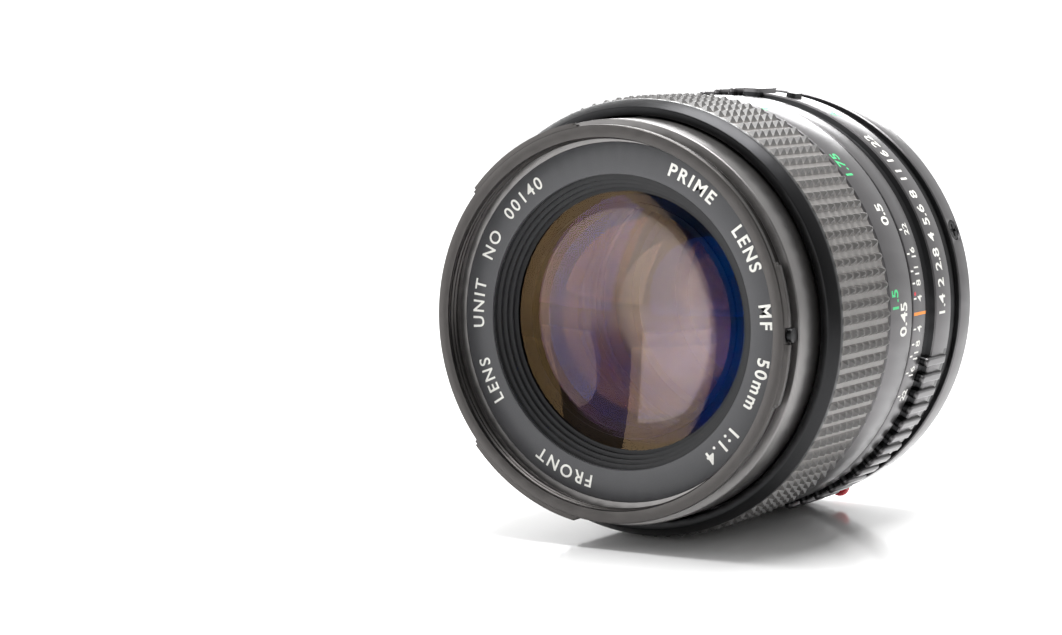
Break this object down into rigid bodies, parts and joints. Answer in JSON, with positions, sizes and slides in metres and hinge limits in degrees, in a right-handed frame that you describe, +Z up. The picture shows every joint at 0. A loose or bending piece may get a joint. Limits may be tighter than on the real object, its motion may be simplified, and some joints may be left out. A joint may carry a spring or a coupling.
{
  "type": "prime camera lens",
  "caption": "Fixed focal length manual focus lens with a ribbed rubber focus ring, an aperture ring, an iris and a bayonet mount, lying on its side.",
  "frame": {"origin": "centre of the mount's flange plane, on the optical axis", "axes": "+Y along the optical axis out of the rear mount, the glass faces -Y, +X through the index line, +Z up with the lens lying on its side"},
  "size_m": [0.063, 0.0538, 0.0634],
  "materials": {
    "satin_black_metal": "satin anodised",
    "inner_black_metal": "matt",
    "grip_rubber": "moulded, matt",
    "brass": "turned",
    "steel": "satin",
    "blade_steel": "blackened",
    "red_enamel": "gloss",
    "black_plastic": "satin",
    "optical_glass": "coated",
    "lug_steel": "satin"
  },
  "bodies": {
    "barrel": {"main_barrel": "inner_black_metal", "depth_scale_ring": "satin_black_metal", "rear_barrel": "satin_black_metal", "barrel_screws": "inner_black_metal", "red_index_dot": "red_enamel", "bayonet_ring": "lug_steel", "bayonet_screws": "lug_steel", "focus_keys": "brass", "key_screws": "steel", "click_spring": "steel", "click_ball": "steel", "focus_stop": "steel", "core_retaining_ring": "steel", "release_spring": "steel"},
    "focus_ring": {"focus_ring": "satin_black_metal", "focus_grip": "grip_rubber", "focus_helicoid": "brass", "focus_screws": "steel"},
    "lens_unit": {"front_barrel": "satin_black_metal", "hood_pin": "black_plastic", "name_ring": "satin_black_metal", "front_retaining_ring": "inner_black_metal", "front_cell": "inner_black_metal", "front_spacer": "inner_black_metal", "lens_carrier": "inner_black_metal", "diaphragm_housing": "inner_black_metal", "diaphragm_cover": "inner_black_metal", "rear_cell": "inner_black_metal", "rear_group_ring": "inner_black_metal", "rear_spacer": "inner_black_metal", "rear_retaining_ring": "inner_black_metal", "lens_element_1": "optical_glass", "lens_element_2": "optical_glass", "lens_element_3": "optical_glass", "lens_element_4": "optical_glass", "lens_element_5": "optical_glass", "lens_element_6": "optical_glass", "lens_element_7": "optical_glass"},
    "drive_ring": {"drive_ring": "steel"},
    "aperture_ring": {"aperture_ring": "satin_black_metal", "ae_button_spring": "steel"},
    "ae_lock_button": {"ae_lock_button": "black_plastic"},
    "release_button": {"release_button": "lug_steel"},
    "mount_core": {"mount_core": "lug_steel", "rear_baffle": "inner_black_metal", "baffle_screws": "lug_steel", "max_aperture_pin": "steel", "ae_switch_pin": "steel"},
    "stop_down_lever": {"stop_down_lever": "steel"},
    "signal_lever": {"signal_lever": "steel"},
    "blade_1": {"blade_1": "blade_steel"},
    "blade_2": {"blade_2": "blade_steel"},
    "blade_3": {"blade_3": "blade_steel"},
    "blade_4": {"blade_4": "blade_steel"},
    "blade_5": {"blade_5": "blade_steel"},
    "blade_6": {"blade_6": "blade_steel"},
    "blade_7": {"blade_7": "blade_steel"},
    "blade_8": {"blade_8": "blade_steel"}
  },
  "joints": [
    {"name": "focus_turn", "type": "hinge", "parent": "barrel", "child": "focus_ring", "pos_m": [0, -0.0294, 0], "axis": [0, 1, 0], "range_deg": [0, 220]},
    {"name": "unit_slide", "type": "slide", "parent": "barrel", "child": "lens_unit", "axis": [0, 1, 0], "range_m": [0, 0.0073]},
    {"name": "aperture_turn", "type": "hinge", "parent": "barrel", "child": "aperture_ring", "pos_m": [0, -0.0054, 0], "axis": [0, 1, 0], "range_deg": [0, 63]},
    {"name": "ae_lock_press", "type": "slide", "parent": "aperture_ring", "child": "ae_lock_button", "axis": [-0.2164, 0, -0.9763], "range_m": [0, 0.0006], "stiffness_N_per_m": 400},
    {"name": "release_press", "type": "slide", "parent": "barrel", "child": "release_button", "axis": [0.4226, 0, 0.9063], "range_m": [0, 0.001], "stiffness_N_per_m": 500},
    {"name": "mount_twist", "type": "hinge", "parent": "barrel", "child": "mount_core", "pos_m": [0, 0, 0], "axis": [0, 1, 0], "range_deg": [-65, 0]},
    {"name": "stop_down", "type": "hinge", "parent": "mount_core", "child": "stop_down_lever", "pos_m": [0, -0.0011, 0], "axis": [0, 1, 0], "range_deg": [0, 16]},
    {"name": "signal_turn", "type": "hinge", "parent": "mount_core", "child": "signal_lever", "pos_m": [0, -0.002, 0], "axis": [0, 1, 0], "range_deg": [0, 63]},
    {"name": "drive_ring_turn", "type": "hinge", "parent": "lens_unit", "child": "drive_ring", "pos_m": [0, -0.0245, 0], "axis": [0, 1, 0], "range_deg": [0, 16]},
    {"name": "blade_1_swing", "type": "hinge", "parent": "lens_unit", "child": "blade_1", "pos_m": [0.0204, -0.0264, 0], "axis": [0, 1, 0], "range_deg": [0, 33]},
    {"name": "blade_2_swing", "type": "hinge", "parent": "lens_unit", "child": "blade_2", "pos_m": [0.01443, -0.0264, 0.01443], "axis": [0, 1, 0], "range_deg": [0, 33]},
    {"name": "blade_3_swing", "type": "hinge", "parent": "lens_unit", "child": "blade_3", "pos_m": [0, -0.0264, 0.0204], "axis": [0, 1, 0], "range_deg": [0, 33]},
    {"name": "blade_4_swing", "type": "hinge", "parent": "lens_unit", "child": "blade_4", "pos_m": [-0.01443, -0.0264, 0.01443], "axis": [0, 1, 0], "range_deg": [0, 33]},
    {"name": "blade_5_swing", "type": "hinge", "parent": "lens_unit", "child": "blade_5", "pos_m": [-0.0204, -0.0264, 0], "axis": [0, 1, 0], "range_deg": [0, 33]},
    {"name": "blade_6_swing", "type": "hinge", "parent": "lens_unit", "child": "blade_6", "pos_m": [-0.01443, -0.0264, -0.01443], "axis": [0, 1, 0], "range_deg": [0, 33]},
    {"name": "blade_7_swing", "type": "hinge", "parent": "lens_unit", "child": "blade_7", "pos_m": [0, -0.0264, -0.0204], "axis": [0, 1, 0], "range_deg": [0, 33]},
    {"name": "blade_8_swing", "type": "hinge", "parent": "lens_unit", "child": "blade_8", "pos_m": [0.01443, -0.0264, -0.01443], "axis": [0, 1, 0], "range_deg": [0, 33]}
  ],
  "couplings": [
    {"joint": "unit_slide", "follows": "focus_turn", "m_per_rad": 0.0019012},
    {"joint": "signal_turn", "follows": "aperture_turn", "ratio": 1},
    {"joint": "drive_ring_turn", "follows": "stop_down", "ratio": 1},
    {"joint": "blade_1_swing", "follows": "stop_down", "ratio": 2.0625},
    {"joint": "blade_2_swing", "follows": "stop_down", "ratio": 2.0625},
    {"joint": "blade_3_swing", "follows": "stop_down", "ratio": 2.0625},
    {"joint": "blade_4_swing", "follows": "stop_down", "ratio": 2.0625},
    {"joint": "blade_5_swing", "follows": "stop_down", "ratio": 2.0625},
    {"joint": "blade_6_swing", "follows": "stop_down", "ratio": 2.0625},
    {"joint": "blade_7_swing", "follows": "stop_down", "ratio": 2.0625},
    {"joint": "blade_8_swing", "follows": "stop_down", "ratio": 2.0625}
  ]
}
